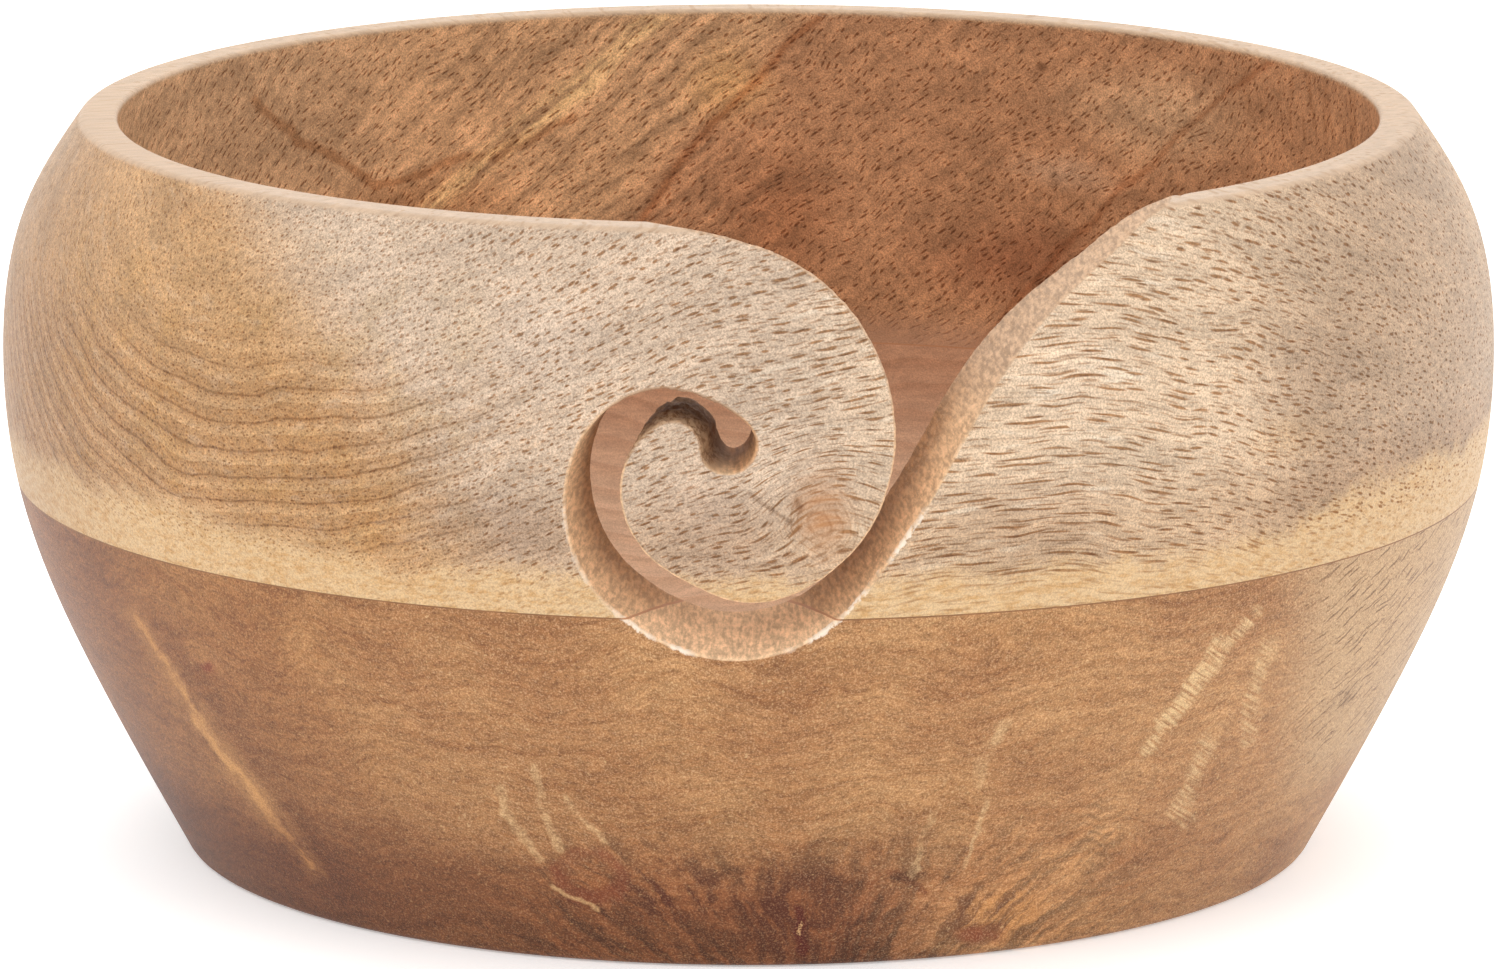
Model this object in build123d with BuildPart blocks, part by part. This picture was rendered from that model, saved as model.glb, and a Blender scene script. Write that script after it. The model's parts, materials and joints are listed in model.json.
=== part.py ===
from build123d import *
import os

os.makedirs("parts", exist_ok=True)

# Turned wooden yarn bowl, in millimetres. The origin is the centre of the foot, +Z is the turning axis
# and the yarn slot faces -Y.

# Body: two planks glued flat on each other and turned as one blank.
belly_radius = 76.0  # widest outside radius, a 152 mm bowl
belly_height = 51.0  # height of the widest line
foot_radius = 57.6  # flat that the bowl stands on
foot_edge_radius = 1.2  # broken edge round the foot
height = 75.1  # two planks of 1 1/2 inch, less the facing cuts
rim_outer_radius = 67.8
rim_inner_radius = 64.0
rim_outer_edge_radius = 0.9
rim_inner_edge_radius = 0.5
glue_height = 38.4  # plane where the two planks meet
glue_thickness = 0.15  # cured film between the planks

# Inside of the bowl
floor_thickness = 9.5
cavity_radius = 66.0  # widest inside radius
cavity_fillet_radius = 34.0  # big round between the floor and the wall

# Outside profile between the foot and the rim, as (radius, height)
outside_profile = [
    (67.4, 18.8),
    (74.6, 37.6),
    (belly_radius, belly_height),
    (73.5, 65.7),
]

# Yarn slot. Its walls run from the outline towards a point on the turning axis, so that they stand square
# to the bowl's wall all the way round. The outline is drawn on a plane in front of the bowl.
slot_focus_height = 60.0
slot_plane_distance = 80.0
slot_far_distance = 36.0  # the cutter ends here, inside the cavity
slot_top = 104.0  # the cutter stands open above the rim

# Far side of the slot, from the mouth down the right, round the bottom and over the top of the tongue,
# as (x, height)
slot_far_side = [
    (84.0, 90.5),
    (66.0, 84.3),
    (55.5, 80.7),
    (46.2, 75.6),
    (36.0, 69.5),
    (25.4, 59.6),
    (18.6, 49.2),
    (13.0, 41.3),
    (7.0, 35.0),
    (-1.8, 32.3),
    (-10.4, 35.0),
    (-16.9, 41.2),
    (-18.9, 49.2),
    (-16.4, 56.8),
    (-9.2, 61.0),
    (-4.2, 60.1),
    (-1.1, 58.4),
    (0.5, 56.3),
]

# Near side of the slot: the edge of the tongue that the yarn winds round, from its tip back to the mouth
slot_near_side = [
    (-3.4, 55.0),
    (-4.6, 57.0),
    (-7.6, 57.8),
    (-10.7, 56.3),
    (-13.0, 51.6),
    (-11.2, 44.9),
    (-5.6, 40.7),
    (0.6, 38.8),
    (6.4, 40.7),
    (11.9, 45.8),
    (14.6, 52.0),
    (14.9, 59.0),
    (13.0, 65.4),
    (9.0, 71.0),
    (2.6, 75.2),
    (-6.0, 77.7),
    (-20.0, 80.4),
]

# Rounded seat at the inner end of the slot, where the yarn lies. It tapers towards the inside.
seat_outer_distance = 77.0
seat_outer_radius = 2.8
seat_outer_centre = (-1.9, 55.7)
seat_inner_distance = 64.0
seat_inner_radius = 1.65
seat_inner_centre = (-1.3, 55.2)


def slot_point(point, distance):
    """The outline point carried along its line to the focus, on the plane at this distance."""
    share = distance / slot_plane_distance
    x, z = point
    return (x * share, slot_focus_height + (z - slot_focus_height) * share)


def slot_outline(distance):
    """Closed outline of the slot on the plane at this distance in front of the turning axis."""
    with BuildSketch(Plane.XZ.offset(distance)) as outline:
        with BuildLine():
            far_side = Spline([slot_point(p, distance) for p in slot_far_side])
            near_side = Spline([slot_point(p, distance) for p in slot_near_side])
            Line(far_side @ 1, near_side @ 0)
            Polyline(
                near_side @ 1,
                slot_point((slot_near_side[-1][0], slot_top), distance),
                slot_point((slot_far_side[0][0], slot_top), distance),
                far_side @ 0,
            )
        make_face()
    return outline.sketch


# Turned section, half of it, on the XZ plane
with BuildSketch(Plane.XZ) as section:
    wall_tangent_height = floor_thickness + cavity_fillet_radius
    fillet_centre = (cavity_radius - cavity_fillet_radius, wall_tangent_height)
    with BuildLine():
        Line((0, 0), (foot_radius, 0))
        Spline([(foot_radius, 0), *outside_profile, (rim_outer_radius, height)])
        Line((rim_outer_radius, height), (rim_inner_radius, height))
        TangentArc(
            (cavity_radius, wall_tangent_height),
            (rim_inner_radius, height),
            tangent=(0, 1),
        )
        CenterArc(fillet_centre, cavity_fillet_radius, -90, 90)
        Line((fillet_centre[0], floor_thickness), (0, floor_thickness))
        Line((0, floor_thickness), (0, 0))
    make_face()
    rim_corners = section.vertices().group_by(Axis.Y)[-1]
    fillet(rim_corners.sort_by(Axis.X)[-1], rim_outer_edge_radius)
    rim_corners = section.vertices().group_by(Axis.Y)[-1]
    fillet(rim_corners.sort_by(Axis.X)[0], rim_inner_edge_radius)
    fillet(section.vertices().group_by(Axis.Y)[0].sort_by(Axis.X)[-1], foot_edge_radius)

with BuildPart() as slot_cutter:
    loft([slot_outline(slot_plane_distance), slot_outline(slot_far_distance)], ruled=True)

with BuildSketch(Plane.XZ.offset(seat_outer_distance)) as seat_outer:
    with Locations(seat_outer_centre):
        Circle(seat_outer_radius)

with BuildSketch(Plane.XZ.offset(seat_inner_distance)) as seat_inner:
    with Locations(seat_inner_centre):
        Circle(seat_inner_radius)

with BuildPart() as seat_cutter:
    loft([seat_outer.sketch, seat_inner.sketch], ruled=True)

# The whole bowl: turned, then slotted
with BuildPart() as slotted_bowl:
    revolve(section.sketch, axis=Axis.Z)
    add(slot_cutter.part, mode=Mode.SUBTRACT)
    add(seat_cutter.part, mode=Mode.SUBTRACT)

# Upper plank: the rim, the upper wall and the tongue
with BuildPart() as upper_ring:
    add(slotted_bowl.part)
    split(bisect_by=Plane.XY.offset(glue_height + glue_thickness / 2), keep=Keep.TOP)
upper_ring.part.label = "upper_ring"
export_step(upper_ring.part, "parts/upper_ring.step")

# Lower plank: the floor, the foot and the lower wall, with the bottom of the slot scooped out of its edge
with BuildPart() as lower_bowl:
    add(slotted_bowl.part)
    split(bisect_by=Plane.XY.offset(glue_height - glue_thickness / 2), keep=Keep.BOTTOM)
lower_bowl.part.label = "lower_bowl"
export_step(lower_bowl.part, "parts/lower_bowl.step")

# Cured glue between the planks, cut through by the slot with them
with BuildPart() as glue_line:
    add(slotted_bowl.part)
    split(bisect_by=Plane.XY.offset(glue_height + glue_thickness / 2), keep=Keep.BOTTOM)
    split(bisect_by=Plane.XY.offset(glue_height - glue_thickness / 2), keep=Keep.TOP)
glue_line.part.label = "glue_line"
export_step(glue_line.part, "parts/glue_line.step")
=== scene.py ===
"""Turned wooden yarn bowl: two glued planks with a spiral yarn slot, on a pale studio floor."""

import json
import math

import bmesh
import bpy
import numpy as np
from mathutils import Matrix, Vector, geometry, noise

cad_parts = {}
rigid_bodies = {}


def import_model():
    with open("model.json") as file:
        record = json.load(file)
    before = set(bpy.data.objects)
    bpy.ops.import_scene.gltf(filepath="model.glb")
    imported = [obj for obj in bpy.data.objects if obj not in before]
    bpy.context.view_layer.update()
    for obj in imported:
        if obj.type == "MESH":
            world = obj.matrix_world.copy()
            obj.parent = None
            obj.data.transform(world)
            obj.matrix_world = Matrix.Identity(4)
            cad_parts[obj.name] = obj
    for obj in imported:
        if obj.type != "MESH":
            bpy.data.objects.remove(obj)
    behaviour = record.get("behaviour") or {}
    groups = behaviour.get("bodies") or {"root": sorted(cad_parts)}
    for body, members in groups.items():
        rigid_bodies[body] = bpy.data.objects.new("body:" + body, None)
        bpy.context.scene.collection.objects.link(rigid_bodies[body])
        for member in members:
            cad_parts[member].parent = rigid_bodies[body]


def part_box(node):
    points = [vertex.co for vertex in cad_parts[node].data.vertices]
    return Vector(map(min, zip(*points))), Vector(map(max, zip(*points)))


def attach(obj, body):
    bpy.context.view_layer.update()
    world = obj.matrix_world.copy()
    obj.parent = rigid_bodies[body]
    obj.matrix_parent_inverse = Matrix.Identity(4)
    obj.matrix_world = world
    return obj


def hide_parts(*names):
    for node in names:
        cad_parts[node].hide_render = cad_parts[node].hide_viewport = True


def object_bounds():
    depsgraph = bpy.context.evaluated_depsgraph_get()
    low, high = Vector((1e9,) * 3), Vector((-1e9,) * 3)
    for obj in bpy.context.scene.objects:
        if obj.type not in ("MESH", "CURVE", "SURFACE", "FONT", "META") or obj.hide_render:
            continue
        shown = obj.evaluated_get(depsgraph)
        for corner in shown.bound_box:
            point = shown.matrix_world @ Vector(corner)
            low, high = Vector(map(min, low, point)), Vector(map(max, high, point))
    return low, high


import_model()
CAD_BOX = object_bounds()

# ------------
# Sizes, in millimetres. The frame gives the overall ones, the rest repeat the CAD model's.
# ------------
M = 0.001  # metres in a millimetre

BELLY_RADIUS = CAD_BOX[1].x / M
HEIGHT = CAD_BOX[1].z / M
GLUE_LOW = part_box("lower_bowl")[1].z / M
GLUE_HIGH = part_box("upper_ring")[0].z / M

FOOT_RADIUS = 57.6
FOOT_EDGE = 1.2
RIM_OUTER = 67.8
RIM_INNER = 64.0
RIM_OUTER_EDGE = 0.9
RIM_INNER_EDGE = 0.5
FLOOR = 9.5
CAVITY_RADIUS = 66.0
CAVITY_FILLET = 34.0
OUTSIDE = [(FOOT_RADIUS, 0), (67.4, 18.8), (74.6, 37.6), (76.0, 51.0), (73.5, 65.7), (RIM_OUTER, HEIGHT)]

# The slot's edges as (x, height) on a plane in front of the bowl. Each point lies on a straight line to
# the focus on the turning axis, and the slot's walls follow those lines through the wood.
FOCUS_HEIGHT = 60.0
PLANE_DISTANCE = 80.0
FAR_SIDE = [
    (84.0, 90.5), (66.0, 84.3), (55.5, 80.7), (46.2, 75.6), (36.0, 69.5), (25.4, 59.6), (18.6, 49.2),
    (13.0, 41.3), (7.0, 35.0), (-1.8, 32.3), (-10.4, 35.0), (-16.9, 41.2), (-18.9, 49.2), (-16.4, 56.8),
    (-9.2, 61.0), (-4.2, 60.1), (-1.1, 58.4),
]
SEAT_OUTSIDE = [(0.8, 55.6), (-0.3, 53.3), (-2.4, 52.7), (-4.4, 53.8), (-4.9, 55.9)]
SEAT_INSIDE = [(0.4, 55.2), (0.0, 53.2), (-1.6, 52.1), (-3.2, 53.2), (-3.9, 55.2)]
NEAR_SIDE = [
    (-5.9, 57.3), (-7.9, 57.8), (-10.7, 56.3), (-13.0, 51.6), (-11.2, 44.9), (-5.6, 40.7), (0.6, 38.8),
    (6.4, 40.7), (11.9, 45.8), (14.6, 52.0), (14.9, 59.0), (13.0, 65.4), (9.0, 71.0), (2.6, 75.2),
    (-6.0, 77.7), (-20.0, 80.4),
]
EDGE_SOFTENING = 0.28  # sanded radius along the slot's edges
TORN_TIP = (-6.5, 57.5)  # x and height of the tongue's torn tip
TORN_SIZE = (4.5, 4)

# Burr of broken fibres along the slot's outside edge
FAR_PERCENT = 53  # share of the edge's points that are on its far side
NEAR_BURR = 0.55  # strength on the tongue's side
BURR_REACH = 1.2
RIM_CHANGE = 0.6  # width over which the outside's wood changes to the inside's

# Mesh spacing
SPACING = 1.25
SLOT_STEP = 0.45
WALL_ROWS = 22
COLUMNS = 384
OUTSIDE_STEPS = 90  # in each span of the outside's curve
INSIDE_STEPS = 130
FILLET_STEPS = 220
SECTION_STEP = 0.05
PATCH_HALF_ANGLE = 66  # degrees each side of the front that the slot's patch covers
PATCH_LOW = 24.0  # height where the patch starts on the outside and ends on the inside
GRID_CLEARANCE = 1.1  # from the slot to the patch's nearest grid point
RING_OFFSET = 0.5  # from the slot to the ring of points round it
RING_CLEARANCE = 0.42

FIBRE_HEADING = 20  # degrees right of the front where the upper plank's fibres touch the wall


# ------------
# Curves and the turned section
# ------------
def spline_spans(points):
    """Natural cubic spline through the points: a function that gives its points in one span."""
    points = np.array(points, float)
    length = np.linalg.norm(np.diff(points, axis=0), axis=1)
    system = np.eye(len(points))
    pull = np.zeros_like(points)
    for i in range(1, len(points) - 1):
        before, after = length[i - 1], length[i]
        system[i, i - 1 : i + 2] = before, 2 * (before + after), after
        pull[i] = 6 * ((points[i + 1] - points[i]) / after - (points[i] - points[i - 1]) / before)
    bend = np.linalg.solve(system, pull)

    def span(i, share):
        b = np.asarray(share, float)[:, None]
        a = 1 - b
        curve = (a**3 - a) * bend[i] + (b**3 - b) * bend[i + 1]
        return a * points[i] + b * points[i + 1] + curve * length[i] ** 2 / 6

    return span, length


def smooth_curve(points, steps):
    """Points along the spline, with this many steps in each span."""
    span, _ = spline_spans(points)
    pieces = [span(i, np.arange(n) / n) for i, n in enumerate(steps)]
    return np.vstack([*pieces, np.array(points[-1], float)[None]])


def round_corner(line, corner, radius):
    """The line with the corner nearest this point replaced by an arc of the radius."""
    k = int(np.argmin(np.linalg.norm(line - np.array(corner, float), axis=1)))
    before = line[k] - line[k - 1]
    after = line[k + 1] - line[k]
    before = before / np.linalg.norm(before)
    after = after / np.linalg.norm(after)
    turn = math.atan2(before[0] * after[1] - before[1] * after[0], before @ after)
    reach = radius * math.tan(abs(turn) / 2)
    far = np.linalg.norm(line - line[k], axis=1)
    first = k - int(np.argmax(far[k::-1] > reach))
    last = k + int(np.argmax(far[k:] > reach))
    start = line[k] - before * reach
    side = math.copysign(1, turn)
    centre = start + radius * side * np.array([-before[1], before[0]])
    angles = np.linspace(0, turn, 9)
    spoke = start - centre
    arc = [centre + [spoke[0] * math.cos(t) - spoke[1] * math.sin(t),
                     spoke[0] * math.sin(t) + spoke[1] * math.cos(t)] for t in angles]
    return np.vstack([line[: first + 1], arc, line[last:]])


def straight(a, b, spacing=0.25):
    """Points along a straight line."""
    n = max(1, round(math.dist(a, b) / spacing))
    return np.linspace(a, b, n + 1)


def turned_section():
    """Half section (radius, height): from the middle of the foot up the outside and down to the floor."""
    outside = smooth_curve(OUTSIDE, [OUTSIDE_STEPS] * (len(OUTSIDE) - 1))
    outside[:, 0] = np.minimum(outside[:, 0], BELLY_RADIUS)
    tangent_height = FLOOR + CAVITY_FILLET
    rise = HEIGHT - tangent_height
    lean = CAVITY_RADIUS - RIM_INNER
    wall_radius = (rise**2 + lean**2) / (2 * lean)
    heights = np.linspace(HEIGHT, tangent_height, INSIDE_STEPS)
    inside = np.column_stack([
        CAVITY_RADIUS - wall_radius + np.sqrt(wall_radius**2 - (heights - tangent_height) ** 2), heights])
    angles = np.linspace(0, -math.pi / 2, FILLET_STEPS)
    fillet = np.column_stack([
        CAVITY_RADIUS - CAVITY_FILLET + CAVITY_FILLET * np.cos(angles),
        tangent_height + CAVITY_FILLET * np.sin(angles)])
    line = np.vstack([
        straight((0, 0), (FOOT_RADIUS, 0))[:-1], outside[:-1],
        straight((RIM_OUTER, HEIGHT), (RIM_INNER, HEIGHT), 0.1)[:-1], inside[:-1], fillet[:-1],
        straight((CAVITY_RADIUS - CAVITY_FILLET, FLOOR), (0, FLOOR))])
    line = round_corner(line, (FOOT_RADIUS, 0), FOOT_EDGE)
    line = round_corner(line, (RIM_OUTER, HEIGHT), RIM_OUTER_EDGE)
    return round_corner(line, (RIM_INNER, HEIGHT), RIM_INNER_EDGE)


class Section:
    """The turned section by its arc length."""

    def __init__(self):
        line = turned_section()
        keep = np.r_[True, np.linalg.norm(np.diff(line, axis=0), axis=1) > 1e-6]
        self.line = line[keep]
        self.along = np.r_[0, np.cumsum(np.linalg.norm(np.diff(self.line, axis=0), axis=1))]
        self.rise = (self.line[:, 1] - FOCUS_HEIGHT) / np.maximum(self.line[:, 0], 1)
        self.top = int(np.argmax(self.rise))

    def radius(self, s):
        """Distance from the turning axis at this arc length."""
        return np.interp(s, self.along, self.line[:, 0])

    def height(self, s):
        """Height above the foot at this arc length."""
        return np.interp(s, self.along, self.line[:, 1])

    def at_height(self, height, inside):
        """Arc length where the wall passes this height, on its outside or its inside."""
        half = slice(self.top, None) if inside else slice(None, self.top + 1)
        z, s = self.line[half, 1], self.along[half]
        return float(np.interp(height, z[::-1], s[::-1]) if inside else np.interp(height, z, s))

    def at_rise(self, rise, inside):
        """Arc length where a line of this slope from the focus passes the outside or the inside."""
        if inside:
            return np.interp(rise, self.rise[self.top :][::-1], self.along[self.top :][::-1])
        return np.interp(rise, self.rise[: self.top + 1], self.along[: self.top + 1])

    def rows(self):
        """Arc lengths of the mesh's rows: close together where the section turns sharply."""
        heading = np.unwrap(np.arctan2(*np.diff(self.line, axis=0).T[::-1]))
        fine = np.arange(0, self.along[-1], SECTION_STEP)
        angle = np.interp(fine, (self.along[1:] + self.along[:-1]) / 2, heading)
        bend = np.abs(np.gradient(angle, fine))
        bend = np.convolve(bend, np.ones(9) / 9, mode="same")
        step = np.clip(0.2 / np.maximum(bend, 1e-6), 0.14, SPACING)
        density = np.convolve(1 / step, np.ones(25) / 25, mode="same")
        density[:20] = density[20]
        density[-20:] = density[-20]
        count = np.cumsum(density) * SECTION_STEP
        total = int(count[-1])
        return np.interp(np.arange(1, total) * count[-1] / total, count, fine)


SECTION = Section()


def on_surface(theta, s):
    """The point of the turned surface at this angle from the front and this arc length."""
    r = SECTION.radius(s)
    return np.stack([r * np.sin(theta), -r * np.cos(theta), SECTION.height(s)], -1)


# ------------
# The slot's two edges
# ------------
def slot_edges():
    """The slot's edge on the outside and on the inside, as matching (angle, arc length) points, from
    the right end of its mouth round the spiral to the left end."""
    outside = FAR_SIDE + SEAT_OUTSIDE + NEAR_SIDE
    inside = FAR_SIDE + SEAT_INSIDE + NEAR_SIDE
    _, length = spline_spans(outside)
    steps = [max(2, math.ceil(n / SLOT_STEP)) for n in length]
    edges = []
    for points in (outside, inside):
        x, z = smooth_curve(points, steps).T
        edges.append([np.arctan2(x, PLANE_DISTANCE), (z - FOCUS_HEIGHT) / np.hypot(x, PLANE_DISTANCE)])
    highest = SECTION.rise[SECTION.top]
    under = np.nonzero(edges[0][1] < highest)[0]
    first, last = under[0], under[-1]
    found = []
    for inner, (theta, rise) in enumerate(edges):
        ends = []
        for a, b in ((first - 1, first), (last, last + 1)):
            share = (highest - rise[a]) / (rise[b] - rise[a])
            ends.append(theta[a] + share * (theta[b] - theta[a]))
        theta = np.r_[ends[0], theta[first : last + 1], ends[1]]
        rise = np.r_[highest, rise[first : last + 1], highest]
        found.append(np.column_stack([theta, SECTION.at_rise(rise, bool(inner))]))
    return found


def offset_edge(edge, distance):
    """The closed edge moved along the surface by these distances, away from the slot."""
    ahead = np.roll(edge, -1, axis=0) - np.roll(edge, 1, axis=0)
    radius = SECTION.radius(edge[:, 1])
    tangent = np.column_stack([ahead[:, 0] * radius, ahead[:, 1]])
    tangent /= np.maximum(np.linalg.norm(tangent, axis=1), 1e-9)[:, None]
    x, y = edge[:, 0] * RIM_OUTER, edge[:, 1]
    area = np.sum(x * np.roll(y, -1) - np.roll(x, -1) * y)
    turn = -1 if area > 0 else 1
    away = turn * np.column_stack([-tangent[:, 1], tangent[:, 0]])
    return edge + np.column_stack([away[:, 0] * distance / radius, away[:, 1] * distance])


def inside_polygon(points, polygon):
    """Which points lie in the polygon."""
    x, y = points[:, 0], points[:, 1]
    odd = np.zeros(len(points), bool)
    for (xa, ya), (xb, yb) in zip(polygon, np.roll(polygon, -1, axis=0)):
        crosses = (ya > y) != (yb > y)
        if ya != yb:
            odd ^= crosses & (x < (xb - xa) * (y - ya) / (yb - ya) + xa)
    return odd


def distance_to(points, polygon):
    """Distance from each point to the closed polygon's line."""
    best = np.full(len(points), 1e9)
    for a, b in zip(polygon, np.roll(polygon, -1, axis=0)):
        step = b - a
        share = np.clip((points - a) @ step / max(step @ step, 1e-12), 0, 1)
        best = np.minimum(best, np.linalg.norm(points - a - share[:, None] * step, axis=1))
    return best


# ------------
# The whole bowl as one closed mesh, later cut at the glue
# ------------
class Shell:
    """Points, faces and masks of the mesh being made."""

    def __init__(self):
        self.points, self.faces, self.masks = [], [], []

    def add(self, points, inside, cut, edge):
        """Adds points with their masks, and returns their numbers."""
        points = np.asarray(points, float).reshape(-1, 3)
        start = len(self.points)
        self.points.extend(points)
        n = len(points)
        masks = np.column_stack([np.broadcast_to(v, n) for v in (inside, cut, edge)])
        self.masks.extend(masks)
        return np.arange(start, start + n)

    def strip(self, a, b):
        """Quads between two rows of point numbers."""
        self.faces.extend([a[i], a[i + 1], b[i + 1], b[i]] for i in range(len(a) - 1))


def inner_share(s):
    """0 on the outside of the bowl and 1 on its inside, changing over on the inner edge of the rim."""
    middle = SECTION.at_height(HEIGHT - RIM_INNER_EDGE, True)
    return np.clip((np.asarray(s) - middle) / RIM_CHANGE + 0.5, 0, 1)


def flattened(edge):
    """(angle, arc length) points as (width, arc length), so that both are lengths."""
    return np.column_stack([edge[:, 0] * RIM_OUTER, edge[:, 1]])


def nearest(values, value):
    """Number of the entry nearest this value."""
    return int(np.argmin(np.abs(values - value)))


class Grid:
    """Rows and columns of the turned surface, with a window left open in front for the slot's patch."""

    def __init__(self, shell):
        self.rows = SECTION.rows()
        self.angles = np.arange(COLUMNS) * 2 * math.pi / COLUMNS - math.pi
        half = math.radians(PATCH_HALF_ANGLE)
        self.low = nearest(self.rows, SECTION.at_height(PATCH_LOW, False))
        self.high = nearest(self.rows, SECTION.at_height(PATCH_LOW, True))
        self.left = nearest(self.angles, -half)
        self.right = nearest(self.angles, half)
        self.ids = np.zeros((len(self.rows), COLUMNS), int)
        self.add_points(shell)
        self.add_faces(shell)

    def add_points(self, shell):
        """Every point outside the window."""
        for j, s in enumerate(self.rows):
            columns = np.arange(COLUMNS)
            if self.low < j < self.high:
                columns = columns[(columns <= self.left) | (columns >= self.right)]
            t = self.angles[columns]
            points = on_surface(t, np.full(len(t), s))
            self.ids[j, columns] = shell.add(points, inner_share(s), 0, 0)

    def add_faces(self, shell):
        """Quads outside the window, and a fan of triangles in the middle of the foot and of the floor."""
        for j in range(len(self.rows) - 1):
            around = np.arange(COLUMNS + 1) % COLUMNS
            if self.low <= j < self.high:
                around = np.r_[np.arange(self.right, COLUMNS), np.arange(self.left + 1)]
            shell.strip(self.ids[j, around], self.ids[j + 1, around])
        for row, height, inside in ((0, 0.0, 0.0), (-1, FLOOR, 1.0)):
            centre = shell.add([(0, 0, height)], inside, 0, 0)[0]
            ring = self.ids[row]
            shell.faces.extend([ring[i], ring[(i + 1) % COLUMNS], centre] for i in range(COLUMNS))

    def window(self):
        """The window's border as (column, row) numbers, in order round it."""
        across, up = range(self.left, self.right), range(self.low, self.high)
        border = [(self.left, j) for j in up] + [(i, self.high) for i in across]
        border += [(self.right, j + 1) for j in reversed(up)]
        return border + [(i + 1, self.low) for i in reversed(across)]


class Slot:
    """The slot's edge on both sides of the wall, and the straight ways through the wall between them."""

    def __init__(self):
        outside, inside = slot_edges()
        self.number = len(outside)
        self.first = on_surface(*outside.T)
        self.second = on_surface(*inside.T)
        through = self.second - self.first
        self.depth = np.linalg.norm(through, axis=1)
        self.along = through / np.maximum(self.depth, 1e-9)[:, None]
        self.soften = np.minimum(EDGE_SOFTENING, 0.3 * self.depth)
        far_number = self.number * FAR_PERCENT // 100
        self.burr = np.where(np.arange(self.number) < far_number, 1.0, NEAR_BURR)
        # One closed line round the slot: the outside edge, then the inside edge backwards
        self.edge = np.vstack([outside, inside[-2:0:-1]])
        self.edge_soften = np.r_[self.soften, self.soften[-2:0:-1]]

    def matched(self, values):
        """Values along the closed line as two rows, one for the outside edge and one for the inside."""
        last = values[self.number - 1 : self.number]
        return values[: self.number], np.concatenate([values[:1], values[self.number :][::-1], last])

    def away(self):
        """Directions along the surface, away from the slot, for the outside and the inside edge."""
        beside = on_surface(*offset_edge(self.edge, np.full(len(self.edge), 0.2)).T)
        away = beside - on_surface(*self.edge.T)
        away /= np.maximum(np.linalg.norm(away, axis=1), 1e-9)[:, None]
        return self.matched(away)


def patch_points(grid, slot, rim_path):
    """Points inside the patch: the grid's own, well clear of the slot, and a ring close round the slot."""
    inner = np.array([(grid.angles[i] * RIM_OUTER, grid.rows[j])
                      for j in range(grid.low + 1, grid.high) for i in range(grid.left + 1, grid.right)])
    ring = flattened(offset_edge(slot.edge, slot.edge_soften + RING_OFFSET))
    kept = [points[~inside_polygon(points, rim_path) & (distance_to(points, rim_path) > clearance)]
            for points, clearance in ((inner, GRID_CLEARANCE), (ring, RING_CLEARANCE))]
    return np.vstack(kept)


def add_patch(shell, grid, slot):
    """The turned surface between the grid's window and the slot, in triangles. Returns the numbers of the
    points where the slot's softened edge starts."""
    rim = offset_edge(slot.edge, slot.edge_soften)
    rim_path = flattened(rim)
    rim_burr = np.r_[slot.burr, np.zeros(len(slot.edge) - slot.number)]
    rim_ids = shell.add(on_surface(*rim.T), inner_share(rim[:, 1]), 0, rim_burr)
    inner = patch_points(grid, slot, rim_path)
    near_slot = np.clip(1 - distance_to(inner, flattened(slot.edge)) / BURR_REACH, 0, 1)
    on_outside = inner[:, 1] < SECTION.along[SECTION.top]
    inner_ids = shell.add(on_surface(inner[:, 0] / RIM_OUTER, inner[:, 1]), inner_share(inner[:, 1]), 0,
                          near_slot * on_outside)

    border = grid.window()
    border_ids = [grid.ids[j, i] for i, j in border]
    border_path = np.array([(grid.angles[i] * RIM_OUTER, grid.rows[j]) for i, j in border])
    flat = np.vstack([border_path, rim_path, inner])
    ids = np.r_[border_ids, rim_ids, inner_ids]
    b, r = len(border_path), len(rim_path)
    lines = [(i, (i + 1) % b) for i in range(b)] + [(b + i, b + (i + 1) % r) for i in range(r)]
    made = geometry.delaunay_2d_cdt([Vector(p) for p in flat], lines, [], 0, 1e-7, True)
    corners = np.array([tuple(v) for v in made[0]])
    source = [o[0] if o else -1 for o in made[3]]
    triangles = [f for f in made[2] if all(source[v] >= 0 for v in f)]
    middles = np.array([corners[list(f)].mean(axis=0) for f in triangles])
    kept = ~inside_polygon(middles, rim_path)
    shell.faces.extend([int(ids[source[v]]) for v in f] for f, k in zip(triangles, kept) if k)
    return rim_ids


def saw_marks(number):
    """Small steps that the saw leaves along the slot, in millimetres, one for each column of the wall."""
    marks = [0.10 * noise.noise(Vector((i * 0.11, 3.7, 0))) + 0.05 * noise.noise(Vector((i * 0.45, 9.1, 0)))
             for i in range(number)]
    return np.array(marks)


def wall_relief(points, marks):
    """How far a row of the wall moves into the wood: saw marks, fuzz, and the torn tip of the tongue."""
    (x, z), (width, height) = TORN_TIP, TORN_SIZE
    tip = np.exp(-(((points[:, 0] - x) / width) ** 2) - ((points[:, 2] - z) / height) ** 2)
    fuzz = np.array([noise.noise(Vector(p) * 1.7) for p in points])
    torn = np.array([noise.noise(Vector(p) * 0.9) + 0.6 * noise.noise(Vector(p) * 2.3) for p in points])
    return marks + 0.06 * fuzz + 0.38 * tip * torn


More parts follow.
